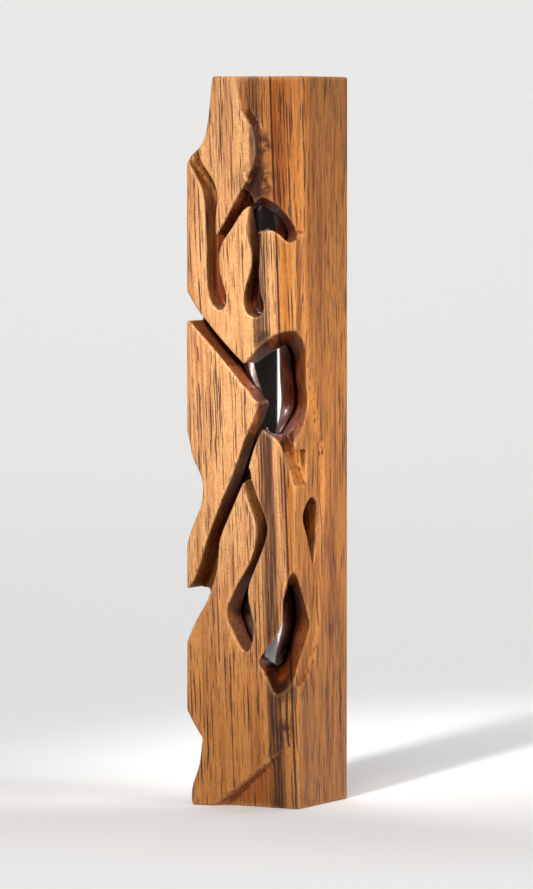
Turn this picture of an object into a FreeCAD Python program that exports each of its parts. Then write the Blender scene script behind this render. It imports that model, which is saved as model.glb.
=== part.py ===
import FreeCAD, Part
import math
import os
import Sketcher

# Mezuzah case: a carved square block of hardwood, bored from below, with a
# polished tube that holds the rolled parchment, a push-in wooden plug and two
# hanging plates let into the back.
#
# Frame, in millimetres: +Z up along the case, the origin at the middle of the
# bottom face, the carved front facing -Y and the flat back facing +Y.

SIZES = {
    "case_width": 25.5,
    "case_height": 150.0,
    "front_round": 0.6,
    "back_round": 1.4,
    "bore_dia": 14.0,
    "bore_depth": 131.0,
    "groove_depth": 8.0,
    "shallow_depth": 5.4,
    "mouth_depth": 0.8,
    "hollow_depth": 2.8,
    "side_step": 0.8,
    "leaf_depth": 5.2,
    "facet_depth": 2.8,
    "tube_outer": 13.0,
    "tube_inner": 12.0,
    "tube_foot": 16.5,
    "tube_length": 112.0,
    "plug_dia": 13.86,
    "plug_inset": 0.3,
    "spigot_dia": 11.9,
    "spigot_length": 6.0,
    "cap_rim": 1.5,
    "cap_skirt": 4.0,
    "grip_width": 2.4,
    "grip_depth": 3.0,
    "ring_level": 11.0,
    "ring_section": 1.8,
    "ring_outer": 13.88,
    "sheet_height": 100.0,
    "sheet_thick": 0.25,
    "roll_inner": 2.9,
    "roll_pitch": 0.52,
    "roll_turns": 5.0,
    "plate_width": 12.0,
    "plate_height": 28.0,
    "plate_thick": 1.2,
    "upper_plate_level": 133.0,
    "lower_plate_level": 26.0,
    "key_dia": 7.0,
    "slot_width": 3.6,
    "slot_rise": 6.5,
    "head_room": 4.2,
    "screw_spacing": 22.0,
    "screw_head": 4.0,
    "screw_shank": 2.0,
    "screw_length": 5.0,
    "screw_sink": 0.9,
}

doc = FreeCAD.newDocument("mezuzah_case")
sizes = doc.addObject("Spreadsheet::Sheet", "sizes")
for row, (word, number) in enumerate(SIZES.items(), start=1):
    sizes.set("A%d" % row, word)
    sizes.set("B%d" % row, str(number))
    sizes.setAlias("B%d" % row, word)
doc.recompute()

HALF = sizes.case_width / 2
FRONT = -HALF
BORE = sizes.bore_dia / 2
OUTSIDE = HALF + 1.5
FAR = HALF + 8


# ---- outlines ---------------------------------------------------------------

def smooth(points):
    """One edge through the points: a straight line for two, a spline for more."""
    if len(points) == 2:
        return Part.makeLine(points[0], points[1])
    curve = Part.BSplineCurve()
    curve.interpolate(points)
    return curve.toShape()


def front_face(strokes, y=FRONT - 1.5):
    """A flat face seen from the front. Each stroke is a smooth run of (x, z)
    points, and runs meet end to end at sharp corners."""
    last = strokes[-1][-1]
    edges = []
    for stroke in strokes:
        run = [last] + list(stroke)
        edges.append(smooth([FreeCAD.Vector(x, y, z) for x, z in run]))
        last = stroke[-1]
    return Part.Face(Part.Wire(edges))


def groove(strokes, depth, lean=0.0):
    """A pocket cut from the front face. Lean is how far its walls drift toward
    +X for each millimetre of depth."""
    cut = depth + 1.5
    face = front_face(strokes)
    face.translate(FreeCAD.Vector(-1.5 * lean, 0, 0))
    return face.extrude(FreeCAD.Vector(cut * lean, cut, 0))


def edge_scoop(strokes):
    """A scoop off the front left edge. It runs back across the left face and
    dies out there, so the back of the block keeps its width."""
    slope = 2.6
    reach = 30.0
    start = strokes[0][0]
    end = strokes[-1][-1]
    runs = [[start], strokes[0][1:]] + strokes[1:]
    face = front_face([[(-FAR, start[1])]] + runs + [[(-FAR, end[1])]])
    face.translate(FreeCAD.Vector(1.5 / slope, 0, 0))
    return face.extrude(FreeCAD.Vector(-reach / slope, reach, 0))


def on_faces(along, level):
    """A point of the outside, measured round the front right corner: below
    zero it is on the front face, above zero on the right face."""
    if along <= 0:
        return FreeCAD.Vector(HALF + along, FRONT, level)
    return FreeCAD.Vector(HALF, FRONT + along, level)


def on_bore(angle, level):
    """A point of the bore's wall, at an angle from the front toward the right."""
    turn = math.radians(angle)
    return FreeCAD.Vector(BORE * math.sin(turn), -BORE * math.cos(turn), level)


def window(ribs, aim):
    """A splayed opening from the outside into the bore. Each rib is a straight
    ruling: (round the corner, level) outside and (angle, level) at the bore."""
    turn = math.radians(aim)
    way = FreeCAD.Vector(math.sin(turn), -math.cos(turn), 0)
    rings = []
    for reach in (0.64 * BORE, 1.6 * HALF):
        points = []
        for along, level, angle, inner_level in ribs:
            inner = on_bore(angle, inner_level)
            ruling = on_faces(along, level) - inner
            points.append(inner + ruling * ((reach - inner.dot(way)) / ruling.dot(way)))
        ring = Part.BSplineCurve()
        ring.interpolate(points, PeriodicFlag=True)
        rings.append(Part.Wire([ring.toShape()]))
    return Part.makeLoft(rings, True, True)


# ---- the carving ------------------------------------------------------------

def shoulder_scoop():
    return edge_scoop([
        [(-6.3, 152), (-7.2, 146), (-7.9, 140), (-8.8, 136.8), (-10.2, 135), (-11.8, 133.6), (-12.6, 131.6),
         (-OUTSIDE, 129)],
    ])


def waist_scoop():
    return edge_scoop([
        [(-OUTSIDE, 80), (-12.2, 76), (-11, 71.2), (-9.4, 68), (-8.9, 65.4), (-9.6, 61.2), (-11.2, 57.6),
         (-12.4, 54), (-OUTSIDE, 49)],
    ])


def knee_scoop():
    return edge_scoop([
        [(-8, 44.4), (-8.1, 42), (-9.4, 39.8), (-11, 37), (-12.3, 34), (-OUTSIDE, 30.5)],
    ])


def foot_scoop():
    return edge_scoop([
        [(-OUTSIDE, 22.5), (-12.4, 19.3), (-11, 16.8), (-9, 13.9)],
        [(-9.3, 11.5), (-10, 7.5), (-11.1, 4.6), (-11.5, 2), (-11, -1)],
    ])


def branch_groove():
    """The forked groove between the top blade and its two neighbours. Its upper
    ends ramp up toward the surface."""
    floor = FRONT + sizes.shallow_depth
    mouth = FRONT + sizes.mouth_depth
    ramp = Part.makePolygon([
        FreeCAD.Vector(-FAR, FRONT - 3, 90),
        FreeCAD.Vector(-FAR, floor, 90),
        FreeCAD.Vector(-FAR, floor, 126.5),
        FreeCAD.Vector(-FAR, mouth, 135.5),
        FreeCAD.Vector(-FAR, FRONT - 3, 142),
        FreeCAD.Vector(-FAR, FRONT - 3, 90),
    ])
    fork = groove([
        [(-12.2, 133)],
        [(-10.75, 129.8), (-9.2, 126.8), (-8.6, 123), (-8.2, 114), (-7.8, 105.6), (-6.6, 103), (-5, 102.1),
         (-3.9, 103.2), (-3.9, 105.6), (-5, 109), (-5.45, 112.5), (-4.6, 116), (-2.4, 119), (-0.2, 122.2),
         (1.6, 123.6)],
        [(-0.2, 127.2)],
        [(-2, 124), (-4, 120.5), (-5.9, 117.3)],
        [(-6.2, 121), (-5.8, 125.6), (-7.2, 129.4), (-9.3, 132.4), (-9.9, 135.2)],
        [(-11, 139), (-OUTSIDE - 1, 140)],
        [(-OUTSIDE - 1, 136)],
    ], sizes.shallow_depth)
    return fork.common(Part.Face(ramp).extrude(FreeCAD.Vector(2 * FAR, 0, 0)))


def top_hollow():
    """A shallow trough from the top blade's right edge, which rolls over the
    block's corner onto the right face."""
    depth = sizes.hollow_depth
    start = -4.0
    near = FRONT - 2
    floor = smooth([
        FreeCAD.Vector(start, FRONT + depth, 112),
        FreeCAD.Vector(3, FRONT + depth, 112),
        FreeCAD.Vector(7.5, FRONT + 0.82 * depth, 112),
        FreeCAD.Vector(10.2, FRONT + 0.78 * depth, 112),
        FreeCAD.Vector(11.9, FRONT + 1.08 * depth, 112),
        FreeCAD.Vector(HALF, FRONT + 1.7 * depth, 112),
        FreeCAD.Vector(HALF + 0.6, FRONT + 3 * depth, 112),
    ])
    sides = Part.makePolygon([
        FreeCAD.Vector(HALF + 0.6, FRONT + 3 * depth, 112),
        FreeCAD.Vector(OUTSIDE, FRONT + 3 * depth, 112),
        FreeCAD.Vector(OUTSIDE, near, 112),
        FreeCAD.Vector(start, near, 112),
        FreeCAD.Vector(start, FRONT + depth, 112),
    ])
    trough = Part.Face(Part.Wire([floor] + sides.Edges)).extrude(FreeCAD.Vector(0, 0, 42))
    outline = groove([
        [(-1.5, 147), (-0.2, 142.6), (1.7, 140), (2.6, 136.6), (2.4, 132.6), (0.8, 128.8),
         (-0.6, 126.2)],
        [(1.4, 123.2), (4, 122)],
        [(8, 120), (OUTSIDE + 2, 114)],
        [(OUTSIDE + 2, 152), (-2, 152)],
    ], 12, lean=0.35)
    return trough.common(outline)


def stem_groove():
    """The drop-ended groove below the upper window."""
    return groove([
        [(1.2, 121.5), (0.95, 117.5), (1.9, 114), (1.9, 111), (0.6, 107), (0.15, 103.6), (1, 101.4), (2.6, 100.75),
         (4.2, 101.3), (4.75, 103), (4.1, 105.2), (3.65, 108), (3.8, 114), (4.1, 119)],
        [(3.4, 122.5), (1.4, 123)],
    ], sizes.shallow_depth)


def upper_window():
    return window([
        (-10.0, 125.2, 5, 123.1),
        (-8.2, 126.8, 15, 123.5),
        (-6.0, 125.4, 26, 122.5),
        (-3.2, 122.8, 43, 121.0),
        (-0.9, 120.2, 56, 119.0),
        (-0.3, 117.2, 60, 117.3),
        (-2.0, 116.0, 56, 116.2),
        (-4.2, 117.5, 42, 117.3),
        (-6.5, 118.5, 25, 118.2),
        (-8.8, 118.4, 11, 118.0),
        (-10.9, 120.8, 4, 120.2),
    ], 30)


def diagonal_groove():
    return groove([
        [(-12.2, 105.2), (-10.8, 103), (-8.9, 100.6)],
        [(-4.4, 95.6), (0.2, 91.1)],
        [(4, 89), (6.2, 84.6)],
        [(3.9, 83.2)],
        [(2.9, 83.5), (1.9, 84.5), (0, 86.6)],
        [(-5.2, 92.6), (-12.2, 99.9)],
        [(-OUTSIDE, 100.3), (-OUTSIDE, 107.6)],
    ], sizes.groove_depth)


def middle_window():
    return window([
        (-12.4, 90.6, -12, 90.2),
        (-9.3, 94.4, 12, 91.8),
        (-6.5, 96.6, 32, 93.3),
        (-3.6, 97.9, 47, 94.3),
        (-0.7, 98.0, 60, 94.8),
        (2.4, 96.4, 69, 93.6),
        (4.1, 91.0, 76, 90.4),
        (4.5, 86.6, 83, 86.0),
        (5.2, 82.9, 86, 83.0),
        (3.4, 79.2, 74, 80.6),
        (0.4, 75.8, 60, 78.4),
        (-3.6, 74.4, 45, 76.2),
        (-6.4, 76.6, 33, 76.8),
        (-8.6, 78.6, 26, 78.6),
        (-8.3, 80.6, 30, 80.6),
        (-8.2, 83.2, 30, 83.4),
        (-10.6, 86.6, 15, 87.0),
    ], 35)


def corner_groove():
    """The narrow groove that runs down the corner from the middle window."""
    return groove([
        [(6.3, 77.4), (8.3, 74.7), (9.8, 71.2), (11.3, 67.5), (12.2, 65.7)],
        [(OUTSIDE, 65.2), (OUTSIDE, 68.5)],
        [(12.7, 70.5), (11.8, 73.5), (10, 76.5), (7.5, 79.5)],
        [(6, 80.5), (4.7, 78.4)],
    ], 5.5)


def slanting_groove():
    """The long groove from the middle window down to the left edge."""
    return groove([
        [(0.4, 75.8), (-1.6, 70.2), (-4.5, 63.7), (-6.8, 58.2), (-8.6, 53.6), (-9.7, 50), (-12.4, 44.6)],
        [(-OUTSIDE, 43.4), (-OUTSIDE, 42.4)],
        [(-8, 42.4), (-7.9, 42.6)],
        [(-6.7, 45.8), (-5.7, 49.6), (-5.3, 54.4), (-3.6, 58.8), (-1.3, 63.8), (0.4, 67.6)],
        [(1.1, 69.4), (1.6, 70.9)],
        [(2.6, 74), (4.7, 78.2)],
        [(6.2, 80.6), (6.2, 83.6)],
        [(3.9, 83.9)],
        [(3.2, 83.2), (3.1, 82.4), (2.6, 80.8), (2, 79)],
    ], sizes.groove_depth)


def flame_opening():
    """The flame-shaped opening left of the tongue, through to the bore."""
    return groove([
        [(1.2, 62.8), (2.7, 58.6), (2.8, 55), (1.0, 49.4), (-1.3, 45.8), (-2.9, 42.6), (-3.75, 39.8),
         (-2.5, 36.5), (-0.4, 32.9), (0.7, 31.8)],
        [(1.5, 32.5), (2.2, 34.6), (2.3, 38), (1.4, 41.8), (1.1, 44.2), (2.2, 48), (4.6, 53.6), (5.4, 57.6),
         (4, 62), (2.1, 67), (1.5, 70)],
        [(0.9, 69.5), (0.3, 66.2)],
    ], sizes.groove_depth, lean=0.09)


def lower_window():
    return window([
        (-1.8, 49.4, 60, 45.8),
        (-2.8, 46.0, 54, 43.4),
        (-2.6, 41.0, 51, 40.4),
        (-3.1, 37.2, 46, 37.8),
        (-5.6, 34.2, 28, 35.4),
        (-8.2, 32.3, 13, 33.6),
        (-10.1, 30.2, 4, 31.8),
        (-8.6, 27.3, 13, 30.2),
        (-6.4, 24.0, 28, 29.2),
        (-3.3, 24.4, 43, 29.2),
        (0.0, 28.4, 56, 30.2),
        (3.4, 31.4, 67, 32.4),
        (6.2, 34.8, 75, 35.4),
        (5.2, 38.8, 78, 38.8),
        (3.0, 42.6, 76, 41.8),
        (0.4, 47.2, 70, 44.4),
    ], 40)


def leaf_hollow():
    """The leaf-shaped pocket in the right face."""
    outline = [(-4.6, 63.6), (-7.2, 62.4), (-9.1, 59.6), (-7.6, 56.6), (-5.6, 52.6), (-4, 49.6)]
    back = [(-2.9, 52.8), (-2.1, 58), (-2.2, 62), (-4.6, 63.6)]
    edges = []
    for run in (outline, [outline[-1]] + back):
        edges.append(smooth([FreeCAD.Vector(HALF + 1, y, z) for y, z in run]))
    face = Part.Face(Part.Wire(edges))
    cut = sizes.leaf_depth + 1
    return face.extrude(FreeCAD.Vector(-cut, 0.18 * cut, 0))


def side_step_cut():
    """A shallow step with a soft sloping wall, which leaves a low winding ridge
    down the right face."""
    ridge = [(-13, 152), (-12.6, 130), (-11.2, 115), (-9.7, 100), (-8.2, 91), (-6.4, 85), (-3, 77), (-0.8, 71),
             (-0.4, 66), (-1.2, 60), (-1.8, 52), (-2.2, 42), (-4, 34), (-7.4, 28.5), (-OUTSIDE, 25)]
    step = sizes.side_step
    run = smooth([FreeCAD.Vector(HALF - step, y, z) for y, z in ridge])
    back = Part.makePolygon([
        FreeCAD.Vector(HALF - step, -OUTSIDE, 25),
        FreeCAD.Vector(HALF - step, -OUTSIDE, 152),
        FreeCAD.Vector(HALF - step, -13, 152),
    ])
    face = Part.Face(Part.Wire([run] + back.Edges))
    return face.extrude(FreeCAD.Vector(step + 1, 1.7 * (step + 1), 0))


def foot_facet():
    """The sloping facet below the diagonal at the foot of the front."""
    fade = HALF - 0.4
    far = -6.0
    depth = sizes.facet_depth
    plan = Part.makePolygon([
        FreeCAD.Vector(fade + 2, FRONT - 2 * depth / (fade - far), -1),
        FreeCAD.Vector(far, FRONT + depth, -1),
        FreeCAD.Vector(2 * far, FRONT + depth * (fade - 2 * far) / (fade - far), -1),
        FreeCAD.Vector(2 * far, FRONT - 2, -1),
        FreeCAD.Vector(fade + 2, FRONT - 2, -1),
        FreeCAD.Vector(fade + 2, FRONT - 2 * depth / (fade - far), -1),
    ])
    below = Part.Face(plan).extrude(FreeCAD.Vector(0, 0, 20))
    rise = FreeCAD.Vector(17.4, 0, 13.2)
    rise.normalize()
    down = FreeCAD.Vector(rise.z, 0, -rise.x)
    foot = FreeCAD.Vector(-6.9, FRONT, 0) - rise * 8
    into = FreeCAD.Vector(0, 1, 0)
    bank = Part.makePolygon([
        foot - down - into * 1.3,
        foot + down * 14 + into * 18.2,
        foot + down * 14 - into * 3,
        foot - down - into * 3,
        foot - down - into * 1.3,
    ])
    return below.common(Part.Face(bank).extrude(rise * 34))


CARVING = [
    shoulder_scoop, waist_scoop, knee_scoop, foot_scoop, side_step_cut, top_hollow, foot_facet, branch_groove,
    stem_groove, upper_window, diagonal_groove, middle_window, corner_groove, slanting_groove, flame_opening,
    lower_window, leaf_hollow,
]


# ---- helpers for the small parts --------------------------------------------

def bound(obj, **expressions):
    """Tie properties of an object to sums of the sheet's cells."""
    for name, expression in expressions.items():
        obj.setExpression(name, expression)
    return obj


def placed(obj, x="0", y="0", z="0", facing_back=False):
    """Put an object at a place given by sums of cells. Facing back turns its
    own +Z to the frame's +Y."""
    turn = FreeCAD.Rotation(FreeCAD.Vector(1, 0, 0), -90 if facing_back else 0)
    obj.Placement = FreeCAD.Placement(FreeCAD.Vector(), turn)
    for axis, expression in (("x", x), ("y", y), ("z", z)):
        if expression != "0":
            obj.setExpression("Placement.Base." + axis, expression)
    return obj


def cylinder(name, radius, height, **place):
    return placed(bound(doc.addObject("Part::Cylinder", name), Radius=radius, Height=height), **place)


def cone(name, low, high, height, **place):
    obj = doc.addObject("Part::Cone", name)
    return placed(bound(obj, Radius1=low, Radius2=high, Height=height), **place)


def box(name, length, width, height, **place):
    obj = doc.addObject("Part::Box", name)
    return placed(bound(obj, Length=length, Width=width, Height=height), **place)


def cut(name, base, tool):
    obj = doc.addObject("Part::Cut", name)
    obj.Base = base
    obj.Tool = tool
    return obj


def fused(name, pieces):
    obj = doc.addObject("Part::MultiFuse", name)
    obj.Shapes = pieces
    return obj


def origin_plane(body, role):
    for feature in body.Origin.OriginFeatures:
        if feature.Role == role:
            return feature


def new_sketch(body, name):
    sketch = body.newObject("Sketcher::SketchObject", name)
    sketch.AttachmentSupport = [(origin_plane(body, "XZ_Plane"), "")]
    sketch.MapMode = "FlatFace"
    return sketch


def pin_corner(sketch, line, corner):
    """Hold the start of a line at (across, up), each a sum of cells."""
    for kind, axis, where in (("DistanceX", -2, corner[0]), ("DistanceY", -1, corner[1])):
        if where == "0":
            sketch.addConstraint(Sketcher.Constraint("PointOnObject", line, 1, axis))
            continue
        start = float(sketch.evalExpression(where))
        index = sketch.addConstraint(Sketcher.Constraint(kind, -1, 1, line, 1, start))
        sketch.setExpression("Constraints[%d]" % index, where)


def closed_profile(sketch, corners):
    """A closed polygon whose corners are bound to the sheet."""
    spots = []
    for across, up in corners:
        spots.append(FreeCAD.Vector(float(sketch.evalExpression(across)), float(sketch.evalExpression(up)), 0))
    count = len(spots)
    for index in range(count):
        sketch.addGeometry(Part.LineSegment(spots[index], spots[(index + 1) % count]), False)
    for index in range(count):
        sketch.addConstraint(Sketcher.Constraint("Coincident", index, 2, (index + 1) % count, 1))
    for index, corner in enumerate(corners):
        pin_corner(sketch, index, corner)


def turned(name, corners):
    """A turned piece: a profile of (radius, height) corners, spun about Z."""
    body = doc.addObject("PartDesign::Body", name)
    sketch = new_sketch(body, name + "_profile")
    closed_profile(sketch, corners)
    spin = body.newObject("PartDesign::Revolution", name + "_turning")
    spin.Profile = sketch
    spin.ReferenceAxis = (sketch, ["V_Axis"])
    spin.Angle = 360
    doc.recompute()
    return body


def pocket_through(body, name, corners):
    """A polygon cut right through a body, both ways from its sketch."""
    sketch = new_sketch(body, name + "_outline")
    closed_profile(sketch, corners)
    pocket = body.newObject("PartDesign::Pocket", name)
    pocket.Profile = sketch
    pocket.Type = "ThroughAll"
    pocket.Midplane = True
    body.Tip = pocket
    doc.recompute()


# ---- the sub-parts ----------------------------------------------------------

def make_case_body():
    """The block: rounded, carved, bored from below and recessed for its plates."""
    blank = box("blank", "sizes.case_width", "sizes.case_width", "sizes.case_height",
                x="-sizes.case_width / 2", y="-sizes.case_width / 2")
    doc.recompute()
    rounded = doc.addObject("Part::Fillet", "rounded_blank")
    rounded.Base = blank
    radii = []
    for number, edge in enumerate(blank.Shape.Edges, start=1):
        if edge.BoundBox.ZLength > sizes.case_height / 2:
            radius = sizes.front_round if edge.BoundBox.YMax < 0 else sizes.back_round
            radii.append((number, radius, radius))
    rounded.Edges = radii
    cutters = [
        cylinder("bore", "sizes.bore_dia / 2", "sizes.bore_depth + 1", z="-1"),
        hanger_pocket("upper_pocket", "sizes.upper_plate_level"),
        hanger_pocket("lower_pocket", "sizes.lower_plate_level"),
    ]
    for carve in CARVING:
        cutter = doc.addObject("Part::Feature", carve.__name__)
        cutter.Shape = carve()
        cutters.append(cutter)
    work = rounded
    for cutter in cutters:
        work = cut("block_less_" + cutter.Name, work, cutter)
    return work


def hanger_pocket(name, level):
    """Recess for one hanging plate, with room for a screw head behind its
    keyhole and a pilot hole for each of its own screws."""
    seat = box(name + "_seat", "sizes.plate_width", "sizes.plate_thick + 1", "sizes.plate_height",
               x="-sizes.plate_width / 2", y="sizes.case_width / 2 - sizes.plate_thick",
               z=level + " - sizes.plate_height / 2")
    room = box(name + "_room", "sizes.key_dia + 1.5", "sizes.head_room + 1", "sizes.slot_rise + sizes.key_dia + 1.5",
               x="-(sizes.key_dia + 1.5) / 2", y="sizes.case_width / 2 - sizes.head_room",
               z=level + " - sizes.slot_rise / 2 - sizes.key_dia / 2 - 0.75")
    pilots = []
    for end, word in ((-1, "low"), (1, "high")):
        pilots.append(cylinder("%s_%s_pilot" % (name, word), "sizes.screw_shank / 2", "sizes.screw_length",
                               y="sizes.case_width / 2 - sizes.screw_length",
                               z="%s + %d * sizes.screw_spacing / 2" % (level, end), facing_back=True))
    return fused(name, [seat, room] + pilots)


def make_hanger_plate(name, level):
    """A flush plate with a keyhole and two countersunk screw holes."""
    back = "sizes.case_width / 2 - sizes.plate_thick"
    deep = "sizes.plate_thick + 2"
    plate = box(name + "_strip", "sizes.plate_width - 0.1", "sizes.plate_thick", "sizes.plate_height - 0.1",
                x="-sizes.plate_width / 2 + 0.05", y=back, z=level + " - sizes.plate_height / 2 + 0.05")
    entry = cylinder(name + "_entry", "sizes.key_dia / 2", deep, y=back + " - 1",
                     z=level + " - sizes.slot_rise / 2", facing_back=True)
    slot = box(name + "_slot", "sizes.slot_width", deep, "sizes.slot_rise",
               x="-sizes.slot_width / 2", y=back + " - 1", z=level + " - sizes.slot_rise / 2")
    slot_end = cylinder(name + "_slot_end", "sizes.slot_width / 2", deep, y=back + " - 1",
                        z=level + " + sizes.slot_rise / 2", facing_back=True)
    holes = [entry, slot, slot_end]
    for end, word in ((-1, "low"), (1, "high")):
        spot = "%s + %d * sizes.screw_spacing / 2" % (level, end)
        holes.append(cylinder("%s_%s_hole" % (name, word), "sizes.screw_shank / 2 + 0.1", deep,
                              y=back + " - 1", z=spot, facing_back=True))
        holes.append(cone("%s_%s_sink" % (name, word), "sizes.screw_shank / 2 + 0.1", "sizes.screw_head / 2 + 0.1",
                          "sizes.screw_sink", y="sizes.case_width / 2 - sizes.screw_sink", z=spot, facing_back=True))
    return cut(name + "_cut", plate, fused(name + "_holes", holes))


def make_hanger_screws():
    """Four countersunk slotted screws, each a solid of its own."""
    screws = []
    for plate in ("upper", "lower"):
        for end, word in ((-1, "low"), (1, "high")):
            name = "%s_%s_screw" % (plate, word)
            spot = "sizes.%s_plate_level + %d * sizes.screw_spacing / 2" % (plate, end)
            shank = cylinder(name + "_shank", "sizes.screw_shank / 2", "sizes.screw_length - sizes.screw_sink",
                             y="sizes.case_width / 2 - sizes.screw_length", z=spot, facing_back=True)
            head = cone(name + "_head", "sizes.screw_shank / 2", "sizes.screw_head / 2", "sizes.screw_sink",
                        y="sizes.case_width / 2 - sizes.screw_sink", z=spot, facing_back=True)
            driver = box(name + "_slot", "sizes.screw_head + 1", "1.4", "0.6", x="-sizes.screw_head / 2 - 0.5",
                         y="sizes.case_width / 2 - 0.4", z=spot + " - 0.3")
            screws.append(cut(name, fused(name + "_blank", [shank, head]), driver))
    return fused("four_screws", screws)


def make_scroll_tube():
    outside = cylinder("tube_outside", "sizes.tube_outer / 2", "sizes.tube_length", z="sizes.tube_foot")
    inside = cylinder("tube_inside", "sizes.tube_inner / 2", "sizes.tube_length + 2", z="sizes.tube_foot - 1")
    return cut("tube_wall", outside, inside)


def make_tube_top_cap():
    """A push-in cap: a rim on the tube's end and a hollow skirt inside it."""
    top = "sizes.tube_foot + sizes.tube_length"
    skirt = "sizes.spigot_dia / 2"
    return turned("top_cap", [
        ("0", top + " + sizes.cap_rim"),
        ("sizes.tube_outer / 2 - 0.4", top + " + sizes.cap_rim"),
        ("sizes.tube_outer / 2", top + " + sizes.cap_rim - 0.4"),
        ("sizes.tube_outer / 2", top),
        (skirt, top),
        (skirt, top + " - sizes.cap_skirt"),
        (skirt + " - 0.8", top + " - sizes.cap_skirt"),
        (skirt + " - 0.8", top + " - 0.6"),
        ("0", top + " - 0.6"),
    ])


def make_end_plug():
    """The turned plug: an O-ring groove round its side, a spigot that holds the
    tube, and a slot across its foot to pull it by."""
    side = "sizes.plug_dia / 2"
    spigot = "sizes.spigot_dia / 2"
    floor = "sizes.ring_outer / 2 - sizes.ring_section - 0.02"
    low = "sizes.ring_level - sizes.ring_section / 2 - 0.05"
    high = "sizes.ring_level + sizes.ring_section / 2 + 0.05"
    body = turned("plug", [
        ("0", "sizes.plug_inset"),
        (side + " - 0.5", "sizes.plug_inset"),
        (side, "sizes.plug_inset + 0.5"),
        (side, low),
        (floor, low),
        (floor, high),
        (side, high),
        (side, "sizes.tube_foot"),
        (spigot, "sizes.tube_foot"),
        (spigot, "sizes.tube_foot + sizes.spigot_length - 0.5"),
        (spigot + " - 0.5", "sizes.tube_foot + sizes.spigot_length"),
        ("0", "sizes.tube_foot + sizes.spigot_length"),
    ])
    pocket_through(body, "pull_slot", [
        ("-sizes.grip_width / 2", "sizes.plug_inset - 1"),
        ("sizes.grip_width / 2", "sizes.plug_inset - 1"),
        ("sizes.grip_width / 2", "sizes.plug_inset + sizes.grip_depth"),
        ("-sizes.grip_width / 2", "sizes.plug_inset + sizes.grip_depth"),
    ])
    return body


def make_o_ring():
    ring = bound(doc.addObject("Part::Torus", "ring"), Radius1="sizes.ring_outer / 2 - sizes.ring_section / 2",
                 Radius2="sizes.ring_section / 2")
    return placed(ring, z="sizes.ring_level")


def make_parchment_scroll():
    """The rolled sheet: a strip wound in an even spiral."""
    steps = int(sizes.roll_turns * 16)
    inner = []
    outer = []
    for step in range(steps + 1):
        turns = sizes.roll_turns * step / steps
        radius = sizes.roll_inner + sizes.roll_pitch * turns
        turn = 2 * math.pi * turns
        direction = FreeCAD.Vector(math.cos(turn), math.sin(turn), 0)
        inner.append(direction * radius)
        outer.append(direction * (radius + sizes.sheet_thick))
    outer.reverse()
    strip = [smooth(inner), smooth([inner[-1], outer[0]]), smooth(outer), smooth([outer[-1], inner[0]])]
    sheet = doc.addObject("Part::Feature", "rolled_sheet")
    sheet.Shape = Part.Face(Part.Wire(strip)).extrude(FreeCAD.Vector(0, 0, sizes.sheet_height))
    level = sizes.tube_foot + sizes.spigot_length + 0.1
    sheet.Placement = FreeCAD.Placement(FreeCAD.Vector(0, 0, level), FreeCAD.Rotation())
    return sheet


SUBPARTS = {
    "case_body": make_case_body(),
    "scroll_tube": make_scroll_tube(),
    "tube_top_cap": make_tube_top_cap(),
    "parchment_scroll": make_parchment_scroll(),
    "end_plug": make_end_plug(),
    "plug_o_ring": make_o_ring(),
    "upper_hanger_plate": make_hanger_plate("upper_plate", "sizes.upper_plate_level"),
    "lower_hanger_plate": make_hanger_plate("lower_plate", "sizes.lower_plate_level"),
    "hanger_screws": make_hanger_screws(),
}
for node, obj in SUBPARTS.items():
    obj.Label = node
doc.recompute()

for obj in doc.Objects:
    if "Invalid" in obj.State or "Error" in obj.State:
        raise RuntimeError("%s did not build: %s" % (obj.Label, obj.State))
os.makedirs("parts", exist_ok=True)
for node, obj in SUBPARTS.items():
    shape = obj.Shape
    if shape.isNull() or not shape.isValid():
        raise RuntimeError("%s has no valid shape" % node)
    shape.exportStep("parts/%s.step" % node)
    print("%-20s %d solid(s) %10.1f mm3" % (node, len(shape.Solids), shape.Volume))
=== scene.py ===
import bpy
import math
import numpy as np
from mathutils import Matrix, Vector


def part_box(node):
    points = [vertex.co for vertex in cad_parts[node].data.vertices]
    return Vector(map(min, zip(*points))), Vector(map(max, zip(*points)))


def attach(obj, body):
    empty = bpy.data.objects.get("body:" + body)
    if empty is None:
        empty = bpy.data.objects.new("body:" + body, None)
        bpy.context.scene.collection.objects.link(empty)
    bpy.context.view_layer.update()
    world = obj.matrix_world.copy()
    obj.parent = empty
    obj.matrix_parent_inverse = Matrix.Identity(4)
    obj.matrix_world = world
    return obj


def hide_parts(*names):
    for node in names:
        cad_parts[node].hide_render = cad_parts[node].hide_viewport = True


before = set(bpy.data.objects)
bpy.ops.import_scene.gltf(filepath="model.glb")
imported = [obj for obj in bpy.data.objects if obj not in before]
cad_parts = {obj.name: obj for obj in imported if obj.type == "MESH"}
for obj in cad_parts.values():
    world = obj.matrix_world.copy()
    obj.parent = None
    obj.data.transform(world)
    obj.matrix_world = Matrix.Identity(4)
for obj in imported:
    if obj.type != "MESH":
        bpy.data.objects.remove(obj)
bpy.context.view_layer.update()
MM = 0.001
LOW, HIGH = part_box("case_body")
FRONT_Y = LOW.y
RIGHT_X = HIGH.x


# ---- node materials ---------------------------------------------------------

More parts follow.
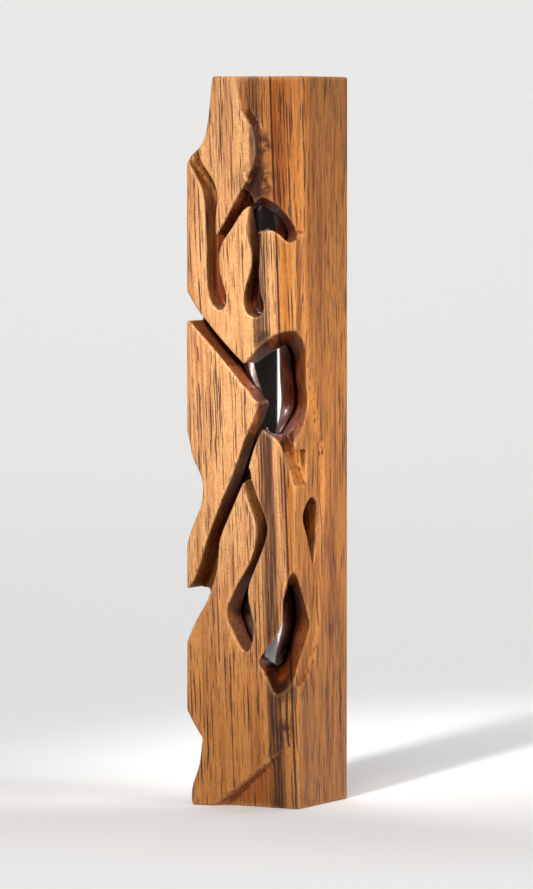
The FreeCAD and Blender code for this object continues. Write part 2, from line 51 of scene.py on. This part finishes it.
class Recipe:
    """A node material under construction. Sockets and numbers both go in as inputs."""

    def __init__(self, name):
        self.material = bpy.data.materials.new(name)
        self.material.use_nodes = True
        self.tree = self.material.node_tree
        self.shader = self.tree.nodes["Principled BSDF"]

    def put(self, node, inputs):
        for key, value in inputs.items():
            socket = node.inputs[key]
            if isinstance(value, bpy.types.NodeSocket):
                self.tree.links.new(value, socket)
            else:
                socket.default_value = value

    def node(self, kind, inputs=None, **settings):
        made = self.tree.nodes.new("ShaderNode" + kind)
        for key, value in settings.items():
            setattr(made, key, value)
        self.put(made, inputs or {})
        return made

    def math(self, operation, first, second=0.0, clamp=False):
        return self.node("Math", {0: first, 1: second}, operation=operation, use_clamp=clamp).outputs[0]

    def mix(self, amount, low, high, blend="MIX"):
        made = self.node("Mix", {0: amount}, data_type="RGBA", blend_type=blend)
        self.put(made, {6: low, 7: high})
        return made.outputs[2]

    def band(self, value, low, high):
        """A smooth 0 to 1 as value goes from low to high."""
        inputs = {0: value, 1: low, 2: high, 3: 0.0, 4: 1.0}
        return self.node("MapRange", inputs, interpolation_type="SMOOTHSTEP").outputs[0]

    def millimetres(self):
        """The object's own coordinates, in millimetres."""
        place = self.node("TexCoord").outputs["Object"]
        return self.node("VectorMath", {0: place, "Scale": 1000.0}, operation="SCALE").outputs[0]

    def stretched(self, place, x, y, z, shift=(0.0, 0.0, 0.0)):
        scaled = self.node("VectorMath", {0: place, 1: (x, y, z)}, operation="MULTIPLY").outputs[0]
        return self.node("VectorMath", {0: scaled, 1: shift}, operation="ADD").outputs[0]

    def noise(self, place, scale=1.0, detail=3.0, roughness=0.5):
        inputs = {"Vector": place, "Scale": scale, "Detail": detail, "Roughness": roughness}
        return self.node("TexNoise", inputs).outputs[0]

    def bump(self, height, distance, strength=1.0):
        made = self.node("Bump", {"Height": height, "Distance": distance, "Strength": strength})
        self.put(self.shader, {"Normal": made.outputs[0]})


def vessels(wood, grain, width, length, size, shift):
    """Open vessels cut along the grain: short dark lines, 1 on a line and 0 off it."""
    cells = wood.stretched(grain, 1 / width, 1 / width, 1 / length, shift)
    nearest = wood.node("TexVoronoi", {"Vector": cells, "Scale": 1.0, "Randomness": 1.0}).outputs["Distance"]
    return wood.math("SUBTRACT", 1.0, wood.band(nearest, size * 0.6, size))


def threads(wood, grain, across, along, level, shift):
    """Long fine dark threads along the grain, broken into dashes."""
    fine = wood.noise(wood.stretched(grain, across, across, along, shift), detail=1.0, roughness=0.4)
    breaks = wood.noise(wood.stretched(grain, 1.4, 1.4, 0.22, shift), detail=2.0)
    level_here = wood.math("ADD", level, wood.math("MULTIPLY", wood.math("SUBTRACT", 0.5, breaks), 0.34))
    return wood.band(wood.math("SUBTRACT", fine, level_here), 0.0, 0.045)


def wood_material(name, pale, golden, dark, line, carved):
    """Open-pored hardwood, solid all through, its grain running up the case."""
    wood = Recipe(name)
    place = wood.millimetres()
    apart = wood.node("SeparateXYZ", {0: place}).outputs
    sway = wood.noise(wood.stretched(place, 0.06, 0.06, 0.016), detail=2.0)
    lean = wood.math("ADD", wood.math("MULTIPLY", apart[2], GRAIN_LEAN), wood.math("MULTIPLY", sway, 1.2))
    across = wood.math("ADD", apart[0], lean)
    grain = wood.node("CombineXYZ", {0: across, 1: apart[1], 2: apart[2]}).outputs[0]
    ring_x = wood.math("MULTIPLY", across, math.cos(RING_TURN))
    ring_y = wood.math("MULTIPLY", wood.math("SUBTRACT", apart[1], FRONT_Y / MM), math.sin(RING_TURN))
    ring = wood.math("ADD", ring_x, ring_y)

    broad = wood.noise(wood.stretched(grain, 0.30, 0.30, 0.012), detail=3.0, roughness=0.55)
    fine = wood.noise(wood.stretched(grain, 1.6, 1.6, 0.030, (5.0, 2.0, 1.0)), detail=3.0, roughness=0.6)
    fibre = wood.noise(wood.stretched(grain, 7.0, 7.0, 0.35, (1.0, 7.0, 3.0)), detail=2.0, roughness=0.7)
    speckle = wood.noise(place, 3.2, 2.0, 0.75)

    past_ring = wood.band(ring, RING_LINE - 1.2, RING_LINE + 0.6)
    foot = wood.math("SUBTRACT", 1.0, wood.band(apart[2], 18.0, 62.0))
    gold = wood.math("MAXIMUM", past_ring, wood.math("MULTIPLY", foot, 0.85))
    colour = wood.mix(gold, pale, golden)
    tone = wood.math("ADD", wood.math("MULTIPLY", broad, 0.45), wood.math("MULTIPLY", fine, 0.55))
    stripe = wood.math("SUBTRACT", 1.0, wood.band(tone, 0.36, 0.54))
    stripe_strength = wood.math("ADD", 0.60, wood.math("MULTIPLY", past_ring, 0.25))
    colour = wood.mix(wood.math("MULTIPLY", stripe, stripe_strength), colour, dark)
    colour = wood.mix(wood.math("MULTIPLY", wood.band(fibre, 0.54, 0.32), 0.50), colour, dark)
    colour = wood.mix(wood.math("MULTIPLY", wood.band(speckle, 0.56, 0.36), 0.42), colour, dark)

    beside_streak = wood.math("ABSOLUTE", wood.math("SUBTRACT", ring, STREAK_LINE))
    streak_patch = wood.noise(
        wood.stretched(grain, 1.6, 1.6, 0.045, (3.0, 1.0, 9.0)), detail=3.0, roughness=0.65)
    streak_run = wood.noise(wood.stretched(grain, 0.05, 0.05, 0.020, (6.0, 3.0, 1.0)), detail=1.0)
    ragged = wood.math("MULTIPLY", wood.math("SUBTRACT", streak_patch, 0.5), 2.4)
    streak = wood.math("SUBTRACT", 1.0, wood.band(wood.math("ADD", beside_streak, ragged), 0.9, 1.9))
    streak_lines = wood.noise(
        wood.stretched(grain, 3.6, 3.6, 0.05, (7.0, 5.0, 2.0)), detail=3.0, roughness=0.65)
    solid = wood.math("ADD", 0.45, wood.math("MULTIPLY", wood.band(streak_lines, 0.62, 0.48), 0.55))
    streak = wood.math("MULTIPLY", streak, solid)
    streak = wood.math("MULTIPLY", streak, wood.band(streak_run, 0.30, 0.46))
    colour = wood.mix(wood.math("MULTIPLY", streak, 0.92), colour, STREAK)
    if carved:
        mottle = wood.noise(place, 0.55, 2.0, 0.6)
        for centre, radius in KNOTS:
            away = wood.node("VectorMath", {0: place, 1: centre}, operation="DISTANCE").outputs["Value"]
            near = wood.math("SUBTRACT", 1.0, wood.band(away, radius * 0.35, radius * 1.1))
            knot = wood.math("MULTIPLY", near, wood.band(mottle, 0.34, 0.52))
            colour = wood.mix(wood.math("MULTIPLY", knot, 0.85), colour, STREAK)

    off_line = wood.math("ABSOLUTE", wood.math("SUBTRACT", ring, RING_LINE))
    ring_mark = wood.math("SUBTRACT", 1.0, wood.band(off_line, 0.12, 0.32))
    pores = vessels(wood, grain, 0.60, 20.0, 0.27, (0.0, 0.0, 0.0))
    pores = wood.math("MAXIMUM", pores, vessels(wood, grain, 0.90, 34.0, 0.22, (3.1, 1.7, 0.4)))
    pores = wood.math("MAXIMUM", pores, vessels(wood, grain, 0.48, 9.0, 0.26, (1.3, 4.7, 2.4)))
    patch = wood.noise(wood.stretched(grain, 0.45, 0.45, 0.018, (8.0, 4.0, 2.0)), detail=2.0)
    pores = wood.math("MULTIPLY", pores, wood.band(patch, 0.26, 0.52))
    long_lines = threads(wood, grain, 2.2, 0.020, 0.63, (2.0, 6.0, 4.0))
    marks = wood.math("MAXIMUM", wood.math("MULTIPLY", pores, 0.92), wood.math("MULTIPLY", long_lines, 0.80))
    marks = wood.math("MAXIMUM", marks, wood.math("MULTIPLY", ring_mark, 0.92))
    colour = wood.mix(marks, colour, line)

    rough = wood.math("ADD", 0.42, wood.math("MULTIPLY", fibre, 0.16))
    if carved:
        recess_shade_and_stain = wood.node("Attribute", attribute_name="recess_shade_and_stain").outputs["Fac"]
        floor = wood.node("Attribute", attribute_name="floor").outputs["Fac"]
        worn = wood.node("Attribute", attribute_name="worn").outputs["Fac"]
        # shallow carved floors are multiplied darker and more golden
        colour = wood.mix(floor, colour, wood.mix(1.0, colour, FLOOR_TINT, "MULTIPLY"))
        # painted shade: recesses and walls turned from the front are multiplied darker, partly a darker
        # end-grain finish and partly the shade that falls there
        colour = wood.mix(recess_shade_and_stain, colour, wood.mix(1.0, colour, RECESS_SHADE_AND_STAIN, "MULTIPLY"))
        colour = wood.mix(wood.math("MULTIPLY", worn, 0.12), colour, WORN)
        rough = wood.math("SUBTRACT", rough, wood.math("MULTIPLY", recess_shade_and_stain, 0.12))
        wood.put(wood.shader, {"Coat Weight": wood.math("MULTIPLY", recess_shade_and_stain, 0.2)})
    wood.put(wood.shader, {"Base Color": colour, "Roughness": rough, "IOR": 1.42, "Specular IOR Level": 0.3,
                            "Coat Roughness": 0.14})
    height = wood.math("SUBTRACT", wood.math("MULTIPLY", fibre, 0.4), wood.math("MAXIMUM", pores, long_lines))
    wood.bump(height, 0.05 * MM, 0.7)
    return wood.material


def steel_material(name, tint, rough, rings, polished=False):
    """Turned metal with faint lathe rings and smears; a polished piece has no rings left."""
    metal = Recipe(name)
    place = metal.millimetres()
    turning = metal.noise(metal.stretched(place, 0.1, 0.1, rings), detail=2.0, roughness=0.5)
    smear = metal.noise(metal.stretched(place, 0.5, 0.5, 0.12, (4.0, 1.0, 2.0)), detail=4.0, roughness=0.6)
    duller = tuple(0.88 * channel for channel in tint) + (1,)
    metal.put(metal.shader, {
        "Base Color": metal.mix(metal.band(smear, 0.3, 0.7), duller, tint + (1,)),
        "Metallic": 1.0,
        "Roughness": metal.math("ADD", rough, metal.math("MULTIPLY", smear, 0.03 if polished else 0.08)),
    })
    if not polished:
        metal.bump(turning, 0.002 * MM, 0.3)
    return metal.material


def rubber_material():
    rubber = Recipe("ring_rubber")
    place = rubber.millimetres()
    grit = rubber.noise(place, 6.0, 3.0)
    rubber.put(rubber.shader, {
        "Base Color": rubber.mix(grit, (0.012, 0.012, 0.013, 1), (0.035, 0.034, 0.033, 1)),
        "Roughness": rubber.math("ADD", 0.5, rubber.math("MULTIPLY", grit, 0.25)),
    })
    rubber.bump(grit, 0.03 * MM, 0.4)
    return rubber.material


def parchment_material():
    sheet = Recipe("parchment")
    place = sheet.millimetres()
    cloud = sheet.noise(place, 0.12, 4.0, 0.6)
    grain = sheet.noise(place, 3.0, 4.0, 0.65)
    colour = sheet.mix(sheet.band(cloud, 0.3, 0.7), (0.74, 0.60, 0.38, 1), (0.85, 0.75, 0.56, 1))
    freckles = sheet.math("MULTIPLY", sheet.band(grain, 0.55, 0.75), 0.3)
    colour = sheet.mix(freckles, colour, (0.55, 0.40, 0.22, 1))
    rough = sheet.math("ADD", 0.6, sheet.math("MULTIPLY", grain, 0.2))
    sheet.put(sheet.shader, {"Base Color": colour, "Roughness": rough})
    sheet.bump(grain, 0.04 * MM, 0.5)
    return sheet.material


GRAIN_LEAN = 0.0403
RING_TURN = math.radians(24.4)
RING_LINE = (12.14 + 0.7) * math.cos(RING_TURN)
STREAK_LINE = (8.1 + 0.7) * math.cos(RING_TURN)
STREAK = (0.040, 0.011, 0.006, 1)
KNOTS = (
    ((2.4, -10.5, 128.6), 5.2),
    ((3.2, -10.5, 136.0), 3.4),
    ((4.6, -12.0, 96.4), 2.6),
    ((9.6, -11.0, 24.5), 4.2),
    ((9.4, -11.6, 16.2), 3.2),
)
# darker, more golden tint multiplied onto the shallow carved floors
FLOOR_TINT = (0.74, 0.58, 0.40, 1)
# painted shade together with a darker end-grain finish, multiplied into the recesses
RECESS_SHADE_AND_STAIN = (0.42, 0.17, 0.085, 1)
WORN = (0.66, 0.36, 0.17, 1)
WEAR_ROUNDS = 6


# ---- pieces -----------------------------------------------------------------

def finished_mesh(source, name, voxel, rounds, ratio):
    """A copy of a CAD piece with its edges sanded round."""
    obj = bpy.data.objects.new(name, source.data.copy())
    bpy.context.scene.collection.objects.link(obj)
    remesh = obj.modifiers.new("even", "REMESH")
    remesh.mode = "VOXEL"
    remesh.voxel_size = voxel
    soften = obj.modifiers.new("sand", "SMOOTH")
    soften.factor = 0.5
    soften.iterations = rounds
    thin = obj.modifiers.new("thin", "DECIMATE")
    thin.ratio = ratio
    graph = bpy.context.evaluated_depsgraph_get()
    mesh = bpy.data.meshes.new_from_object(obj.evaluated_get(graph))
    obj.modifiers.clear()
    obj.data = mesh
    mesh.materials.clear()
    for face in mesh.polygons:
        face.use_smooth = True
    return obj


def coordinates(mesh):
    flat = np.zeros(len(mesh.vertices) * 3, np.float32)
    mesh.vertices.foreach_get("co", flat)
    return flat.reshape(-1, 3).astype(float)


def smoothstep(value, low, high):
    part = np.clip((value - low) / (high - low), 0.0, 1.0)
    return part * part * (3 - 2 * part)


def neighbour_mean(values, edges, count):
    """Each vertex's mean over the vertices it shares an edge with."""
    total = np.stack([
        np.bincount(edges[:, 0], values[edges[:, 1], axis], count)
        + np.bincount(edges[:, 1], values[edges[:, 0], axis], count)
        for axis in range(values.shape[1])
    ], 1)
    shared = np.bincount(edges.ravel(), minlength=count)
    return total / np.maximum(shared, 1)[:, None]


def store_finish(mesh):
    """Masks for the case's colour, stored on its vertices: the recess mask goes from 0 outside
    to 1 in the grooves and on walls turned from the front, and carries painted shade along with
    a darker end-grain finish; floor marks the shallow carved floors, tinted darker and more golden; worn
    marks the rounded edges, rubbed thin."""
    count = len(mesh.vertices)
    points = coordinates(mesh)
    normals = np.zeros(count * 3, np.float32)
    mesh.vertices.foreach_get("normal", normals)
    normals = normals.reshape(-1, 3).astype(float)
    ends = np.zeros(len(mesh.edges) * 2, np.int32)
    mesh.edges.foreach_get("vertices", ends)
    edges = ends.reshape(-1, 2)
    sides = np.stack([
        points[:, 0] - LOW.x, HIGH.x - points[:, 0], points[:, 1] - LOW.y, HIGH.y - points[:, 1],
        points[:, 2] - LOW.z, HIGH.z - points[:, 2],
    ])
    below = sides.min(0) / MM
    turned = np.maximum(np.abs(normals[:, 2]), np.maximum(-normals[:, 0], normals[:, 1]))
    # walls set into the block that face up, down, left or back: painted shade by which way they face
    turned_wall_shade = smoothstep(turned, 0.25, 0.60) * smoothstep(below, 0.15, 0.8)
    # recess mask: deeper than 3.2 mm below the block's faces, or a turned wall; painted shade as well as a
    # darker end-grain finish
    recess_shade_and_stain = np.maximum(smoothstep(below, 3.2, 5.6), 0.70 * turned_wall_shade)
    smooth = points
    for wear_round in range(WEAR_ROUNDS):
        smooth = neighbour_mean(smooth, edges, count)
    bulge = ((points - smooth) * normals).sum(1) / MM
    worn = smoothstep(bulge, 0.02, 0.12)
    floor = smoothstep(below, 0.35, 1.3) * (1 - smoothstep(points[:, 0] / MM, 6.5, 11.5) * (below < 3.2))
    for name, values in (("recess_shade_and_stain", recess_shade_and_stain), ("floor", floor), ("worn", worn)):
        attribute = mesh.attributes.new(name, "FLOAT", "POINT")
        attribute.data.foreach_set("value", values.astype(np.float32))


def make_case():
    case = finished_mesh(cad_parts["case_body"], "carved_case", 0.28 * MM, 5, 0.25)
    store_finish(case.data)
    case.data.materials.append(wood_material(
        "carved_wood", (0.64, 0.325, 0.130, 1), (0.48, 0.183, 0.034, 1), (0.21, 0.056, 0.013, 1),
        (0.024, 0.009, 0.010, 1), True))
    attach(case, "case")
    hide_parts("case_body")


def dress(node, material):
    """Give a CAD node its material."""
    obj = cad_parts[node]
    obj.data.materials.clear()
    obj.data.materials.append(material)


def dress_all():
    brass = steel_material("plate_brass", (0.72, 0.50, 0.22), 0.28, 3.0)
    dress("scroll_tube", steel_material("polished_tube", (0.58, 0.56, 0.57), 0.10, 2.0, polished=True))
    dress("tube_top_cap", steel_material("tube_cap", (0.55, 0.54, 0.55), 0.24, 5.0))
    dress("parchment_scroll", parchment_material())
    dress("end_plug", wood_material(
        "plug_wood", (0.42, 0.22, 0.09, 1), (0.30, 0.14, 0.05, 1), (0.18, 0.075, 0.03, 1),
        (0.05, 0.02, 0.01, 1), False))
    dress("plug_o_ring", rubber_material())
    dress("upper_hanger_plate", brass)
    dress("lower_hanger_plate", brass)
    dress("hanger_screws", steel_material("screw_brass", (0.76, 0.55, 0.26), 0.22, 6.0))


# ---- stage, lights, camera --------------------------------------------------

CAMERA_TURN = math.radians(24.4)
CAMERA_AWAY = 1.335
CAMERA_LEVEL = 0.135
PHOTO_HEIGHT = 889
FOCAL_PIXELS = 6461.0
AIM_LEFT = 0.31 * MM
AIM_LEVEL = 74.05 * MM


def aimed(obj, target):
    obj.rotation_mode = "QUATERNION"
    obj.rotation_quaternion = (Vector(target) - obj.location).to_track_quat("-Z", "Y")


def make_camera():
    data = bpy.data.cameras.new("camera")
    data.sensor_width = 36
    data.lens = FOCAL_PIXELS * data.sensor_width / PHOTO_HEIGHT
    data.clip_end = 20
    camera = bpy.data.objects.new("camera", data)
    bpy.context.scene.collection.objects.link(camera)
    camera.location = around(0, CAMERA_AWAY, CAMERA_LEVEL)
    left = Vector((-math.cos(CAMERA_TURN), -math.sin(CAMERA_TURN), 0)) * AIM_LEFT
    aimed(camera, left + Vector((0, 0, AIM_LEVEL)))
    bpy.context.scene.camera = camera


def around(turn, away, level):
    """A place at an angle round the case, measured from the camera's side toward the right."""
    angle = CAMERA_TURN + math.radians(turn)
    return Vector((away * math.sin(angle), -away * math.cos(angle), level))


def softbox(name, turn, away, level, width, height, power, target=(0, 0, 0.075)):
    data = bpy.data.lights.new(name, "AREA")
    data.shape = "RECTANGLE"
    data.size = width
    data.size_y = height
    data.energy = power
    lamp = bpy.data.objects.new(name, data)
    bpy.context.scene.collection.objects.link(lamp)
    lamp.location = around(turn, away, level)
    aimed(lamp, target)


def make_backdrop():
    """A pale sheet that runs back along the floor and curves up behind, low enough to see over."""
    sweep = 0.5
    floor_front = 0.36
    floor_back = 0.9
    sweep_turn = math.radians(72)
    half_wide = 3.0
    profile = [(-floor_front, 0.0), (0.0, 0.0), (floor_back, 0.0)]
    for step in range(1, 25):
        turn = sweep_turn * step / 24
        profile.append((floor_back + sweep * math.sin(turn), sweep - sweep * math.cos(turn)))
    points = []
    faces = []
    forward = Vector((-math.sin(CAMERA_TURN), math.cos(CAMERA_TURN), 0))
    side = Vector((forward.y, -forward.x, 0))
    for away, level in profile:
        for reach in (-half_wide, half_wide):
            points.append(forward * away + side * reach + Vector((0, 0, level)))
    for step in range(len(profile) - 1):
        faces.append((2 * step, 2 * step + 1, 2 * step + 3, 2 * step + 2))
    mesh = bpy.data.meshes.new("backdrop")
    mesh.from_pydata(points, [], faces)
    for face in mesh.polygons:
        face.use_smooth = True
    paper = Recipe("paper")
    paper.put(paper.shader, {"Base Color": (0.88, 0.87, 0.86, 1), "Roughness": 0.9})
    mesh.materials.append(paper.material)
    backdrop = bpy.data.objects.new("backdrop", mesh)
    bpy.context.scene.collection.objects.link(backdrop)


def spot(name, turn, away, level, beam, radius, power, target):
    data = bpy.data.lights.new(name, "SPOT")
    data.spot_size = math.radians(beam)
    data.spot_blend = 1.0
    data.shadow_soft_size = radius
    data.energy = power
    lamp = bpy.data.objects.new(name, data)
    bpy.context.scene.collection.objects.link(lamp)
    lamp.location = around(turn, away, level)
    aimed(lamp, (0, 0, target))


def make_lights():
    world = bpy.data.worlds.new("studio")
    bpy.context.scene.world = world
    world.use_nodes = True
    world.node_tree.nodes["Background"].inputs[0].default_value = (1.0, 0.82, 0.68, 1)
    world.node_tree.nodes["Background"].inputs[1].default_value = 0.02
    softbox("key", -15, 0.95, 0.85, 0.45, 0.45, 8.0)
    spot("key_centre", -20, 0.95, 0.80, 7.2, 0.05, 88, 0.091)
    softbox("left_low", -60, 1.1, 0.30, 0.30, 0.7, 0.8)
    softbox("right_strip", 52, 1.0, 0.22, 0.60, 1.1, 5.6)
    spot("right_centre", 60, 1.1, 0.25, 7.2, 0.05, 40, 0.072)
    softbox("wall_wash", 180, 0.85, 1.5, 2.2, 0.6, 20.5, target=around(180, 0.85, 0.0))


bpy.context.scene.view_settings.view_transform = "Standard"
make_camera()
make_backdrop()
make_lights()
make_case()
dress_all()
